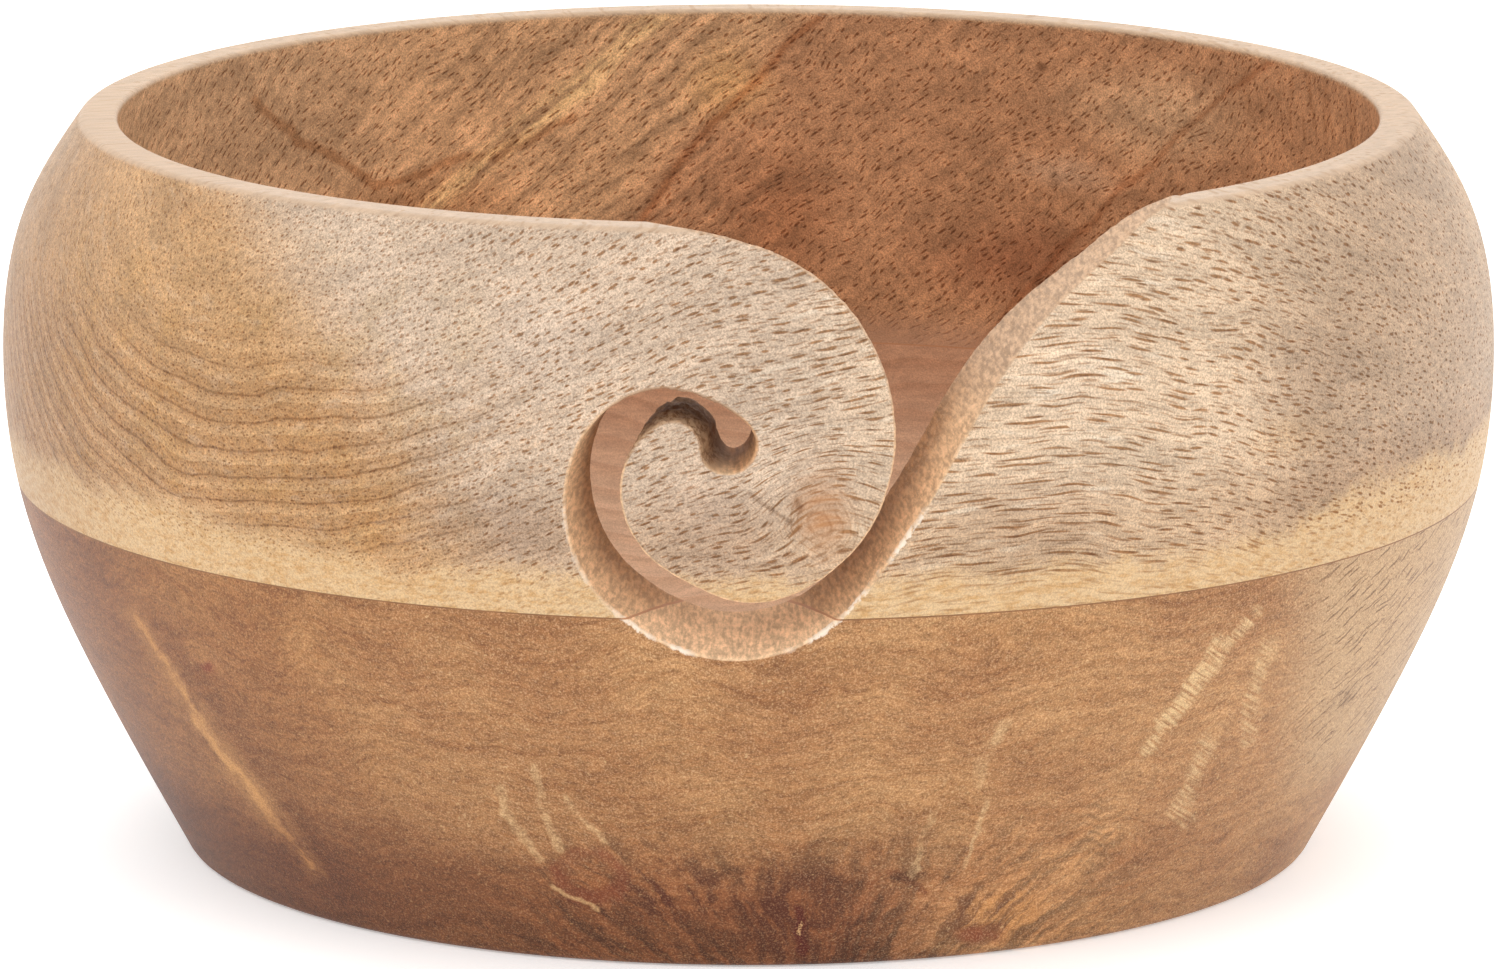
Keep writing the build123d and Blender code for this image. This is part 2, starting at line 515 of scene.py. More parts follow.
def add_wall(shell, slot, rim_ids):
    """The slot's softened edges and sawn wall, row by row from the outside edge to the inside edge."""
    away_first, away_second = slot.away()
    previous, back_ids = slot.matched(rim_ids)
    roundness = [math.radians(a) for a in (22.5, 45.0, 67.5, 90.0)]

    def softened(start, away, inward, angle):
        """A row of a softened edge: on the turned surface at angle 0, in the wall at a right angle."""
        shift = slot.soften * (1 - math.sin(angle))
        sink = slot.soften * (1 - math.cos(angle))
        return start + away * shift[:, None] + inward * sink[:, None]

    # Each row's points, how far it has turned into the wall, its burr and its share of the way inside
    rows = [(softened(slot.first, away_first, slot.along, a), math.sin(a), slot.burr, 0.0) for a in roundness]
    end = slot.depth - slot.soften
    for share in np.arange(1, WALL_ROWS) / WALL_ROWS:
        reach = slot.soften + (end - slot.soften) * share
        burr = slot.burr * max(0.0, 1 - 10 * share)
        rows.append((slot.first + slot.along * reach[:, None], 1.0, burr, share))
    rows += [(softened(slot.second, away_second, -slot.along, a), math.sin(a), 0.0, 1.0)
             for a in roundness[::-1]]

    marks = saw_marks(slot.number)
    for points, turned, burr, share in rows:
        amount = turned * np.clip(slot.depth / 3, 0, 1)
        moved = points + away_first * (amount * wall_relief(points, marks))[:, None]
        row = shell.add(moved, share, 0.5 + 0.5 * turned, burr)
        shell.strip(previous, row)
        previous = row
    shell.strip(previous, back_ids)


def build_shell():
    """The closed surface of the whole bowl: the turned grid, the patch round the slot and the slot's wall."""
    shell = Shell()
    grid = Grid(shell)
    slot = Slot()
    rim_ids = add_patch(shell, grid, slot)
    add_wall(shell, slot, rim_ids)
    return shell


def shell_mesh(shell):
    """The shell as a bmesh in metres, closed and with its normals outward."""
    bm = bmesh.new()
    layers = [bm.verts.layers.float.new(name) for name in ("inside", "cut", "edge")]
    for point, masks in zip(shell.points, shell.masks):
        vertex = bm.verts.new(Vector(point) * M)
        for layer, value in zip(layers, masks):
            vertex[layer] = float(value)
    bm.verts.ensure_lookup_table()
    for face in shell.faces:
        corners = list(dict.fromkeys(int(i) for i in face))
        if len(corners) > 2:
            bm.faces.new([bm.verts[i] for i in corners])
    bmesh.ops.remove_doubles(bm, verts=bm.verts, dist=3e-6)
    bmesh.ops.dissolve_degenerate(bm, edges=bm.edges, dist=1e-6)
    bmesh.ops.recalc_face_normals(bm, faces=bm.faces)
    for face in bm.faces:
        face.smooth = True
    return bm


def cut_piece(whole, name, low=None, high=None):
    """The part of the whole mesh between two heights, closed with flat faces where it is cut."""
    bm = whole.copy()
    for height, up in ((low, False), (high, True)):
        if height is None:
            continue
        parts = bm.verts[:] + bm.edges[:] + bm.faces[:]
        cut = bmesh.ops.bisect_plane(bm, geom=parts, plane_co=(0, 0, height * M), plane_no=(0, 0, 1),
                                     dist=1e-7, clear_inner=not up, clear_outer=up)
        border = [e for e in cut["geom_cut"] if isinstance(e, bmesh.types.BMEdge) and e.is_boundary]
        for e in border:
            e.smooth = False
        made = bmesh.ops.triangle_fill(bm, edges=border, use_beauty=True, normal=(0, 0, 1 if up else -1))
        for face in made["geom"]:
            if isinstance(face, bmesh.types.BMFace):
                face.smooth = False
    bmesh.ops.recalc_face_normals(bm, faces=bm.faces)
    mesh = bpy.data.meshes.new(name)
    bm.to_mesh(mesh)
    bm.free()
    piece = bpy.data.objects.new(name, mesh)
    bpy.context.scene.collection.objects.link(piece)
    return piece


# ------------
# Materials
# ------------
def shade(red, green, blue):
    """A colour given as screen values 0 to 255."""
    linear = [c / 12.92 if c <= 0.04045 else ((c + 0.055) / 1.055) ** 2.4
              for c in (red / 255, green / 255, blue / 255)]
    return (*linear, 1)


# Pale cream of torn fibres, also used for the painted glints of the lower plank
PALE_FIBRES_AND_GLINT = shade(228, 190, 150)


def arithmetic(operation, swapped=False):
    """A method of Field that adds a Math node for this operation."""
    def method(field, other):
        values = (other, field) if swapped else (field, other)
        return field.paint.math(operation, *values)
    return method


class Field:
    """A value inside a material. Arithmetic on it adds the matching nodes."""

    def __init__(self, paint, socket):
        self.paint, self.socket = paint, socket

    __add__ = __radd__ = arithmetic("ADD")
    __sub__ = arithmetic("SUBTRACT")
    __rsub__ = arithmetic("SUBTRACT", swapped=True)
    __mul__ = __rmul__ = arithmetic("MULTIPLY")
    __truediv__ = arithmetic("DIVIDE")


class Paint:
    """A material under construction. Places and sizes are in millimetres in the frame."""

    def __init__(self, name):
        self.material = bpy.data.materials.new(name)
        self.material.use_nodes = True
        self.tree = self.material.node_tree
        self.shader = self.tree.nodes["Principled BSDF"]
        coordinates = self.node("TexCoord")
        self.place = self.vector_math("SCALE", Field(self, coordinates.outputs["Object"]), scale=1 / M)
        self.x, self.y, self.z = self.split(self.place)

    def node(self, kind):
        """Adds a shader node of this kind."""
        return self.tree.nodes.new("ShaderNode" + kind)

    def plug(self, socket, value):
        """Gives an input socket a field or a fixed value."""
        if isinstance(value, Field):
            self.tree.links.new(value.socket, socket)
        else:
            socket.default_value = value

    def math(self, operation, *values):
        """The result of a Math node."""
        node = self.node("Math")
        node.operation = operation
        for socket, value in zip(node.inputs, values):
            self.plug(socket, value)
        return Field(self, node.outputs[0])

    def vector_math(self, operation, *values, scale=None):
        """The result of a Vector Math node."""
        node = self.node("VectorMath")
        node.operation = operation
        for socket, value in zip(node.inputs, values):
            self.plug(socket, value)
        if scale is not None:
            node.inputs["Scale"].default_value = scale
        return Field(self, node.outputs["Value" if operation == "LENGTH" else "Vector"])

    def vector(self, x, y, z):
        """A place made from its three parts."""
        node = self.node("CombineXYZ")
        for socket, value in zip(node.inputs, (x, y, z)):
            self.plug(socket, value)
        return Field(self, node.outputs[0])

    def split(self, place):
        """The three parts of a place."""
        node = self.node("SeparateXYZ")
        self.plug(node.inputs[0], place)
        return [Field(self, socket) for socket in node.outputs]

    def capped(self, value):
        """The value, but at most 1."""
        return self.math("MINIMUM", value, 1.0)

    def mask(self, name):
        """One of the masks that the mesh carries on its points."""
        node = self.node("Attribute")
        node.attribute_name = name
        return Field(self, node.outputs["Fac"])

    def noise(self, place, size, detail=2.0, roughness=0.5, color=False):
        """Cloudy noise around 0.5 with features of this size."""
        node = self.node("TexNoise")
        self.plug(node.inputs["Vector"], place)
        node.inputs["Scale"].default_value = 1 / size
        node.inputs["Detail"].default_value = detail
        node.inputs["Roughness"].default_value = roughness
        return Field(self, node.outputs["Color" if color else "Fac"])

    def step(self, value, low, high):
        """Rises smoothly from 0 at low to 1 at high, or falls when low is the larger."""
        node = self.node("MapRange")
        node.interpolation_type = "SMOOTHSTEP"
        self.plug(node.inputs["Value"], value)
        node.inputs["From Min"].default_value = min(low, high)
        node.inputs["From Max"].default_value = max(low, high)
        node.inputs["To Min"].default_value = 0 if low < high else 1
        node.inputs["To Max"].default_value = 1 if low < high else 0
        return Field(self, node.outputs["Result"])

    def dashes(self, place, length, width):
        """A dash in each unit cell of a flat place, with these half sizes and its own length and depth."""
        node = self.node("TexVoronoi")
        node.voronoi_dimensions = "2D"
        self.plug(node.inputs["Vector"], place)
        node.inputs["Scale"].default_value = 1
        own = self.node("SeparateColor")
        self.tree.links.new(node.outputs["Color"], own.inputs[0])
        size, depth = (Field(self, own.outputs[i]) for i in (0, 1))
        away = self.vector_math("SUBTRACT", place, Field(self, node.outputs["Position"]))
        across, up, _ = self.split(away)
        x = across / (length * (size * 0.9 + 0.5))
        y = up / ((depth * 0.6 + 0.7) * width)
        near = self.math("SQRT", x * x + y * y)
        return self.step(near, 1.15, 0.45) * self.step(depth, -0.1, 0.6)

    def stroke(self, start, end, width, side=-1):
        """1 along a line between two (x, z) points of the front or, with side 1, of the back."""
        run, rise = end[0] - start[0], end[1] - start[1]
        x, z = self.dx - start[0], self.dz - start[1]
        share = (x * run + z * rise) / (run * run + rise * rise)
        share = self.capped(self.math("MAXIMUM", share, 0))
        away = self.vector(x - share * run, z - share * rise, 0.0)
        near = self.step(self.vector_math("LENGTH", away), width, width * 0.2)
        return near * self.step(self.y * side, 0, 8)

    def spot(self, centre, size, soft=0.5, place=None):
        """1 inside an ellipsoid with these half sizes, fading to 0 at its surface."""
        away = self.vector_math("SUBTRACT", place or self.drifted, centre)
        away = self.vector_math("DIVIDE", away, size)
        return self.step(self.vector_math("LENGTH", away), 1.0, 1.0 - soft)

    def mix(self, a, b, share, blend="MIX"):
        """Colour a with the share of colour b."""
        node = self.node("Mix")
        node.data_type = "RGBA"
        node.blend_type = blend
        self.plug(node.inputs[0], share)
        self.plug(node.inputs[6], a)
        self.plug(node.inputs[7], b)
        return Field(self, node.outputs[2])

    def tint(self, color, tone, share):
        """The colour multiplied by the tone, as far as the share."""
        return self.mix(color, (*tone, 1), share, "MULTIPLY")

    def gain(self, color, factor):
        """The colour with its brightness multiplied by a field."""
        return self.mix(color, self.vector(factor, factor, factor), 1.0, "MULTIPLY")

    def drift(self, size, amount, roughness):
        """Keeps the place moved about by slow noise, so that drawn features get natural outlines."""
        push = self.noise(self.place, size, 4.0, roughness, color=True)
        push = self.vector_math("SUBTRACT", push, (0.5, 0.5, 0.5))
        push = self.vector_math("SCALE", push, scale=amount)
        self.drifted = self.vector_math("ADD", self.place, push)
        self.dx, self.dy, self.dz = self.split(self.drifted)

    def finish(self, color, roughness, height, bump):
        """Connects the colour, roughness and relief to the shader, and returns the material."""
        self.plug(self.shader.inputs["Base Color"], color)
        self.plug(self.shader.inputs["Roughness"], roughness)
        self.shader.inputs["Specular IOR Level"].default_value = 0.25
        node = self.node("Bump")
        node.inputs["Strength"].default_value = bump
        node.inputs["Distance"].default_value = 0.15 * M
        self.plug(node.inputs["Height"], height)
        self.tree.links.new(node.outputs[0], self.shader.inputs["Normal"])
        return self.material


class Wood(Paint):
    """Paint for a turned plank, with the masks of its mesh and the finest grain of sanded wood."""

    def __init__(self, name, drift_size, drift_amount, drift_roughness):
        super().__init__(name)
        self.drift(drift_size, drift_amount, drift_roughness)
        self.inside, self.cut, self.edge = (self.mask(layer) for layer in ("inside", "cut", "edge"))
        self.front = self.math("ARCTAN2", self.x, 0 - self.y)  # angle from the middle of the front
        self.back = self.math("ARCTAN2", self.x, self.y)  # angle from the middle of the back
        self.behind = self.step(self.y, -6, 6)
        # Fine speckle of the sanded grain; in the lower plank its brightest specks are also paled as painted
        # sparkle
        self.speckle_and_sparkle = self.step(self.noise(self.place, 0.19, 2.0, 0.7), 0.30, 0.70)


def fibre_lines(p):
    """Distances across and along the fibres, which run nearly level and touch the wall at FIBRE_HEADING."""
    radius = p.math("SQRT", p.x * p.x + p.y * p.y)
    c, s = math.cos(math.radians(FIBRE_HEADING)), math.sin(math.radians(FIBRE_HEADING))
    facing = (1 - (p.x * s - p.y * c) / radius) / 2
    across = radius - radius * facing * facing * 2 / (facing + 0.04)
    return across, p.x * c + p.y * s


def pore_place(p, around, leaf, size, longest, heading):
    """Surface place and half length of the pores: long beside the heading, where the fibres run along the
    wall, and short away from it, where they end on it. Around is an angle, in radians."""
    turn = around - math.radians(heading)
    short = 0.78
    squeeze = (short - 1 / longest) * 0.45
    run = (turn * short - p.math("TANH", turn / 0.45) * squeeze) * BELLY_RADIUS
    length = p.step(p.math("ABSOLUTE", turn), 0.9, 0.25) * 0.22 + 0.24
    return p.vector(run / size, leaf / size, 0.0), length


# ------------
# Upper plank
# ------------
def grow_upper(p):
    """Adds the run of the growth layers and the noises that follow it. The layers dip on the left, turn up
    round the left side and bend over the knot in the tongue."""
    wander = p.noise(p.place, 11, 2.0) * 2.4
    dip = p.math("COSINE", (p.x + 53) * 0.0403) * 11.2
    crossing = p.math("TANH", (p.x - 2) / 8) * 1.8
    over_knot = p.spot((7.4, -75.5, 51), (10, 20, 9), 1.0, p.place) * 3.4
    curl = p.math("MAXIMUM", p.y + 54, 0)
    turned_up = p.math("TANH", curl * curl * 0.00035) * 46
    left_front, left_back = p.step(p.x, -30, -55), p.step(p.x, 20, -64)
    left = left_front + (left_back - left_front) * p.behind
    p.leaf = p.z + dip + wander + crossing - over_knot - turned_up * left
    p.across, p.along = fibre_lines(p)
    p.cloud = p.noise(p.vector(p.across / 9, p.leaf / 5, p.along / 16), 1, 3.0)
    p.streak = p.noise(p.vector(p.across / 0.9, p.leaf / 0.5, p.along / 6), 1, 3.0, 0.6)
    p.mottle = p.step(p.noise(p.place, 1.3, 3.0, 0.65), 0.3, 0.7)


def upper_outside(p):
    """Golden on the left, greyish pink in the middle, cream on the right."""
    color = p.mix(shade(197, 154, 109), shade(207, 181, 158), p.step(p.dx + p.dz * 0.7, -4, 12))
    color = p.mix(color, shade(215, 187, 159), p.step(p.dx, 0, 22))
    color = p.mix(color, shade(186, 156, 128), p.step(p.dx, 42, 60))
    color = p.mix(color, shade(204, 168, 130), p.step(p.dy, -25, 10))
    color = p.gain(color, p.step(p.cloud, 0.15, 0.85) * 0.30 + 0.86)
    color = p.gain(color, p.step(p.streak, 0.3, 0.7) * 0.26 + 0.88)
    color = p.gain(color, p.mottle * 0.12 + 0.94)

    # Yellow patches and growth rings of the golden side
    yellow = p.step(p.noise(p.place, 5, 4.0), 0.48, 0.66) * p.step(p.dx, -12, -40) * p.step(p.z, 77, 60)
    color = p.tint(color, (0.96, 0.92, 0.77), yellow * 0.7)
    ring_phase = p.math("FRACT", p.leaf / 2.7 + p.noise(p.place, 12, 1.0) * 0.8)
    ring = p.step(p.math("ABSOLUTE", ring_phase - 0.5), 0.085, 0.0) * (p.mottle * 0.4 + 0.6)
    layered = p.step(p.dx, -10, -38) * p.step(p.z, 66, 56) * p.step(p.z, 41, 45)
    color = p.tint(color, (0.54, 0.43, 0.32), ring * (layered * 0.85 + 0.10))
    late_wood = p.step(ring_phase, 0.05, 0.5) * layered * (p.mottle * 0.6 + 0.4)
    color = p.tint(color, (0.76, 0.67, 0.56), late_wood)

    # Greyer clouds, paler spots and white streaks along the fibres on the right that are painted highlights,
    # brown above the sapwood and at the left rim
    grey = sum(p.spot(centre, size, soft) * share for centre, size, soft, share in (
        ((-23, -70, 47.5), (11, 14, 4.5), 0.8, 1.0), ((26, -70, 48), (13, 14, 6), 0.8, 0.7),
        ((52, -48, 58), (9, 14, 9), 0.9, 0.7), ((-5, -75, 47), (10, 10, 8), 0.8, 0.9)))
    color = p.tint(color, (0.86, 0.83, 0.82), p.capped(grey))
    # Painted highlights: two paler, bluer spots on the front of the belly
    pale = p.spot((-19, -70, 65), (9, 12, 8), 1.0) + p.spot((31, -67, 61), (9, 12, 8), 1.0)
    color = p.tint(color, (1.06, 1.08, 1.12), p.capped(pale))
    # Painted highlights: white streaks along the fibres, mostly on the right
    white = p.noise(p.vector(p.across / 2.4, p.leaf / 1.1, p.along / 7), 1, 2.0)
    white = p.step(white, 0.55, 0.72) * (p.step(p.dx, -6, 14) * 0.38 + 0.10) * p.step(p.dx, 48, 34)
    color = p.mix(color, shade(240, 224, 204), white)
    color = p.tint(color, (1.05, 0.98, 0.84), p.spot((51, -50, 52), (9, 14, 4), 0.9))
    brownish = p.noise(p.place, 7, 5.0, 0.7) * 5
    color = p.tint(color, (0.84, 0.78, 0.71), p.step(p.z - brownish, 50, 43) * p.step(p.dx, -34, -16))
    return p.tint(color, (0.78, 0.72, 0.66), p.spot((-52, -40, 73), (12, 16, 3), 1.0) * p.streak * 1.2)


def add_sapwood(p, color):
    """The yellow band above the glue, with an uneven upper border. Returns the colour and the band."""
    ripple = (p.noise(p.place, 7, 5.0, 0.7) - 0.5) * 8
    top = ripple + p.step(p.x, -36, -56) * 2.2 + p.step(p.x, 48, 62) * 3.4
    sapwood = p.step(p.z - top, 44.0, 40.8)
    color = p.mix(color, shade(234, 198, 154), sapwood * 0.86)
    color = p.tint(color, (0.88, 0.78, 0.60), sapwood * p.step(p.streak, 0.50, 0.68) * 0.6)
    gold = p.step(p.noise(p.vector(p.x / 1.6, p.y / 1.6, p.z / 0.6), 1, 4.0, 0.7), 0.44, 0.62)
    return p.tint(color, (0.82, 0.66, 0.42), sapwood * gold * 0.6), sapwood


def add_pores(p, color, sapwood):
    """Dashes where the fibres run along the wall, dots where they end on it. Returns the colour and the
    depth of the pores."""
    thick = p.step(p.noise(p.place, 6, 2.0), 0.3, 0.6) * 0.05 + 0.12
    front_pores = p.dashes(*pore_place(p, p.front, p.leaf, 0.78, 7.5, 21), thick + 0.02)
    front_small = p.dashes(*pore_place(p, p.front, p.leaf + 3.3, 0.50, 5.0, 21), 0.19)
    back_pores = p.dashes(*pore_place(p, p.back, p.leaf, 0.95, 4.0, 35), thick)
    pores = front_pores + (back_pores - front_pores) * p.behind
    small = front_small * (1 - p.behind)
    clear = 1 - sapwood * p.step(p.z, 43, 41) * 0.6
    left = p.step(p.dx, -16, -46)
    color = p.tint(color, (0.46, 0.29, 0.15), pores * (0.90 - left * 0.5) * clear)
    color = p.tint(color, (0.46, 0.31, 0.18), small * (left * 0.25 + 0.60) * clear)
    return color, pores, small


def add_tongue_knot(p, color):
    """Orange-brown knot with a whorl round it, a dark crescent on its left and a fine crack beyond."""
    knot = p.spot((7.4, -75.5, 50.0), (4.6, 9, 6.0), 1.0)
    color = p.mix(color, shade(170, 116, 70), knot * (p.step(p.streak, 0.3, 0.7) * 0.5 + 0.4))
    turns = p.math("FRACT", p.spot((7.2, -75.5, 49.0), (8, 14, 8), 1.0) * 7)
    whorl = p.step(p.math("ABSOLUTE", turns - 0.5), 0.22, 0.0) * p.spot((7.2, -75.5, 48.6), (7, 12, 6.5), 0.6)
    color = p.tint(color, (0.66, 0.52, 0.38), whorl * (p.mottle * 0.5 + 0.2))
    crescent = p.spot((4.9, -75.5, 50.4), (1.0, 8, 1.5), 0.9)
    color = p.tint(color, (0.52, 0.38, 0.26), crescent * 0.8)
    return p.tint(color, (0.42, 0.32, 0.24), p.stroke((-0.5, 50.6), (4.2, 48.4), 0.4) * 0.5)


def upper_hollow(p):
    """Reddish brown, with its figure rising to the right across the far wall. Returns the colour and the
    depth of the pores."""
    slope = math.radians(38)
    sideways = p.back * 65
    along = sideways * math.cos(slope) + p.z * math.sin(slope)
    across = p.z * math.cos(slope) - sideways * math.sin(slope) + p.noise(p.place, 10, 2.0) * 4
    diagonal = p.dx - p.dz * 0.85
    red = p.step(diagonal, -62, -54)
    color = p.mix(shade(196, 145, 102), shade(200, 144, 98), p.step(p.dx, -55, -30))
    color = p.mix(color, shade(186, 126, 84), red)
    for tone, centre, size, share in (
            (shade(152, 92, 58), (28, 60, 48), (15, 30, 8), 0.9),
            (shade(162, 100, 62), (3, 64, 52), (10, 30, 11), 0.8),
            (shade(204, 152, 108), (44, 50, 66), (16, 30, 8), 0.85),
            (shade(198, 148, 110), (34, 58, 58), (9, 30, 3), 0.6),
            (shade(224, 160, 98), (-2, 63, 67), (7, 20, 7), 0.7)):
        color = p.mix(color, tone, p.spot(centre, size, 1.0) * share)

    # A dark growth line on the left, a golden streak, dark lines beside the red heartwood and a dark fleck
    growth_line = [(-52, 69), (-48.5, 63.4), (-40, 58.6), (-28.5, 60), (-19, 64)]
    drawn = sum(p.stroke(a, b, 0.8, 1) for a, b in zip(growth_line, growth_line[1:]))
    color = p.tint(color, (0.66, 0.50, 0.38), p.capped(drawn) * 0.7)
    color = p.tint(color, (0.86, 0.76, 0.68), p.spot((-36, 52, 55), (16, 30, 6), 0.8))
    color = p.tint(color, (0.40, 0.34, 0.30), p.spot((31.5, 57, 70), (1.0, 20, 0.8), 0.8, p.place) * 0.8)
    golden = p.step(p.math("ABSOLUTE", across - 66.5), 2.2, 0.2) * p.step(p.dx, 4, -4) * (1 - red)
    streak = p.noise(p.vector(across / 1.3, along / 11, 0.0), 1, 4.0, 0.65)
    color = p.mix(color, shade(230, 176, 116), golden * p.step(streak, 0.35, 0.6) * 0.8)
    banded = p.step(p.dx, -46, -24) * p.step(p.dx, 8, -4) * 0.45 + 0.42
    color = p.gain(color, (p.step(streak, 0.25, 0.75) - 0.5) * banded + 1.0)
    line = p.step(p.math("ABSOLUTE", diagonal + 56), 1.2, 0.0)
    line = line + p.step(p.math("ABSOLUTE", diagonal + 9), 0.9, 0.0) * 0.8
    color = p.tint(color, (0.70, 0.52, 0.40), line * p.behind * 0.8)

    pores = p.dashes(p.vector(along / 1.5, across / 0.66, 0.0), 0.32, 0.18)
    color = p.tint(color, (0.40, 0.28, 0.20), pores * 0.9)
    color = p.gain(color, p.speckle_and_sparkle * 0.62 + 0.69)
    color = p.gain(color, p.mottle * 0.30 + 0.88)
    color = p.gain(color, p.step(p.cloud, 0.2, 0.8) * 0.36 + 0.82)
    color = p.tint(color, (0.95, 1.18, 1.42), 1.0)
    color = p.mix(color, shade(176, 136, 108), p.step(p.z, 43, 38) * 0.8)
    smear = p.step(p.noise(p.vector(sideways, p.z / 9, 0.0), 1.2, 3.0), 0.5, 0.7) * p.step(p.x, 48, 58)
    return p.tint(color, (0.74, 0.66, 0.58), smear * p.step(p.z, 60, 72)), pores


def upper_wood():
    """The upper plank's material."""
    p = Wood("upper_wood", 16, 7, 0.5)
    grow_upper(p)
    color, sapwood = add_sapwood(p, upper_outside(p))
    color, pores, small = add_pores(p, color, sapwood)
    color = p.gain(color, p.speckle_and_sparkle * (0.62 - sapwood * 0.28) + (0.69 + sapwood * 0.14))
    color = p.tint(color, (0.78, 0.78, 0.76), 1.0)
    color = p.tint(color, (0.92, 0.92, 0.90), sapwood)
    # Painted shade: darker and greyer along the far left edge
    color = p.tint(color, (0.80, 0.78, 0.78), p.step(p.x, -58, -74))
    color = add_tongue_knot(p, color)
    hollow, hollow_pores = upper_hollow(p)
    color = p.mix(color, hollow, p.inside)
    rim_color = p.gain(shade(188, 160, 133), p.step(p.streak, 0.25, 0.75) * 0.2 + 0.88)
    color = p.mix(color, rim_color, p.step(p.z, 74.5, 74.95) * 0.85)
    color, rough_cut = saw_cut(p, color, shade(182, 150, 121), shade(204, 166, 128))

    roughness = 0.46 + pores * 0.2 + p.cut * 0.3
    height = p.speckle_and_sparkle * 0.4 - (pores * 0.7 + small * 0.3) * (1 - p.inside) - hollow_pores * p.inside * 0.7
    height = height * (1 - p.cut) + rough_cut * p.cut * 2
    return p.finish(color, roughness, height, 0.35)


def saw_cut(p, color, light, brown):
    """Adds the sawn faces of the slot, with painted shade darker towards the inside and on the tongue's torn
    tip and seat, and the pale burr along its edge.
    Returns the colour and the roughness of the sawn wood as a height."""
    fuzz = p.noise(p.place, 0.6, 3.0, 0.7)
    fibres = p.step(p.noise(p.vector(p.x / 0.45, p.y / 3, p.z / 0.45), 1, 3.0, 0.65), 0.34, 0.66)
    low = p.step(p.z, 63, 55)
    sawn = p.mix(light, brown, low)
    shadow = p.step(p.inside + (fuzz - 0.5) * 0.8, 0.35, 0.95) * (low * 0.8 + 0.10) * p.step(p.z, 33, 43)
    sawn = p.tint(sawn, (0.52, 0.40, 0.30), shadow)
    # Dark torn end grain on the tongue's tip, partly painted shade
    tongue_tip = p.spot((-7.0, -70, 57), (8.2, 16, 5.6), 0.3, p.place) * p.step(p.x, 0.5, -1.5)
    sawn = p.mix(sawn, shade(112, 80, 54), tongue_tip * p.step(fuzz + fibres * 0.3, 0.35, 0.85))
    # Painted shade in the seat under the tongue's tip
    seat = p.spot((0.5, -70, 56), (4, 16, 4.5), 0.3, p.place)
    sawn = p.tint(sawn, (0.80, 0.68, 0.58), seat)
    sawn = p.gain(sawn, p.step(fuzz, 0.3, 0.7) * 0.28 + 0.87)
    sawn = p.gain(sawn, fibres * 0.50 + 0.76)
    color = p.mix(color, sawn, p.cut)
    ragged = p.step(p.edge + (p.noise(p.place, 0.7, 3.0, 0.7) - 0.5) * 1.1, 0.80, 1.0)
    worn = p.step(p.noise(p.place, 4.0, 3.0), 0.42, 0.60) * p.step(p.z, 60, 50)
    worn = worn * (p.step(p.x, -14, -10) * 0.6 + 0.4) * p.step(p.math("ABSOLUTE", p.x - 0.3), 2.6, 4.6)
    burr = ragged * worn * p.step(p.edge, 0.5, 0.9)
    return p.mix(color, shade(232, 218, 200), burr * 0.8), fuzz


# ------------
# Lower plank
# ------------
def lower_outside(p):
    """Warm brown, redder towards the foot, with a wavy figure that fans out from a crack at the foot."""
    p.leaf = p.z + p.noise(p.place, 15, 3.0) * 9
    p.sideways = (p.front + (p.back - p.front) * p.behind) * 70
    color = p.mix(shade(194, 144, 103), shade(176, 124, 86), p.step(p.noise(p.place, 15, 3.0), 0.35, 0.65))
    ruddy = p.step(p.dz, 19, 6) * p.step(p.dx, 28, 10)
    color = p.mix(color, shade(134, 82, 54), ruddy * 0.85)
    color = p.mix(color, shade(168, 118, 80), p.step(p.dz, 30, 22) * p.step(p.dx, 10, -20) * 0.4)
    wave = p.noise(p.vector(p.x / 11, p.y / 11, p.leaf / 1.4), 1, 5.0, 0.65)
    color = p.tint(color, (0.60, 0.48, 0.37), p.step(wave, 0.7, 0.3) * 0.62)
    ripple = p.math("FRACT", p.leaf / 3.6 + p.noise(p.place, 6, 3.0) * 1.2)
    color = p.tint(color, (0.76, 0.66, 0.56), p.step(p.math("ABSOLUTE", ripple - 0.5), 0.16, 0.0) * 0.5)
    p.fleck = p.step(p.noise(p.vector(p.x / 1.4, p.y / 1.4, p.leaf / 0.5), 1, 3.0, 0.65), 0.3, 0.7)
    color = p.gain(color, p.fleck * 0.34 + 0.83)
    spread = (p.dx - 5) / (p.dz + 14) * 13
    p.fan = p.step(p.noise(p.vector(spread, p.y / 6, p.dz / 6), 1, 4.0, 0.65), 0.34, 0.64)
    fan_zone = p.step(p.dz, 19, 9) * p.step(p.dx, -30, -16) * p.step(p.dx, 44, 30)
    return p.gain(color, (p.fan - 0.5) * fan_zone * 0.75 + 1.0)


def add_lower_pores(p, color):
    """A paler patch with dark slanting pores on the right, and fine pores everywhere. Returns the colour and
    the depth of the slanting ones."""
    pale_side = p.step(p.dx, 50, 59) * p.step(p.dz, 6, 16) * p.step(p.dy, 24, -12)
    color = p.mix(color, shade(199, 163, 132), pale_side * 0.85)
    slant = p.z - p.sideways * 0.5 + p.noise(p.place, 5, 2.0) * 3
    pores = p.dashes(p.vector(p.sideways / 3.2, slant / 0.9, 0.0), 0.45, 0.17) * pale_side
    color = p.tint(color, (0.38, 0.27, 0.19), pores * 0.9)
    fine = p.dashes(p.vector(p.sideways / 0.9, p.leaf / 0.5, 0.0), 0.3, 0.22)
    return p.tint(color, (0.64, 0.52, 0.42), fine * 0.7), pores


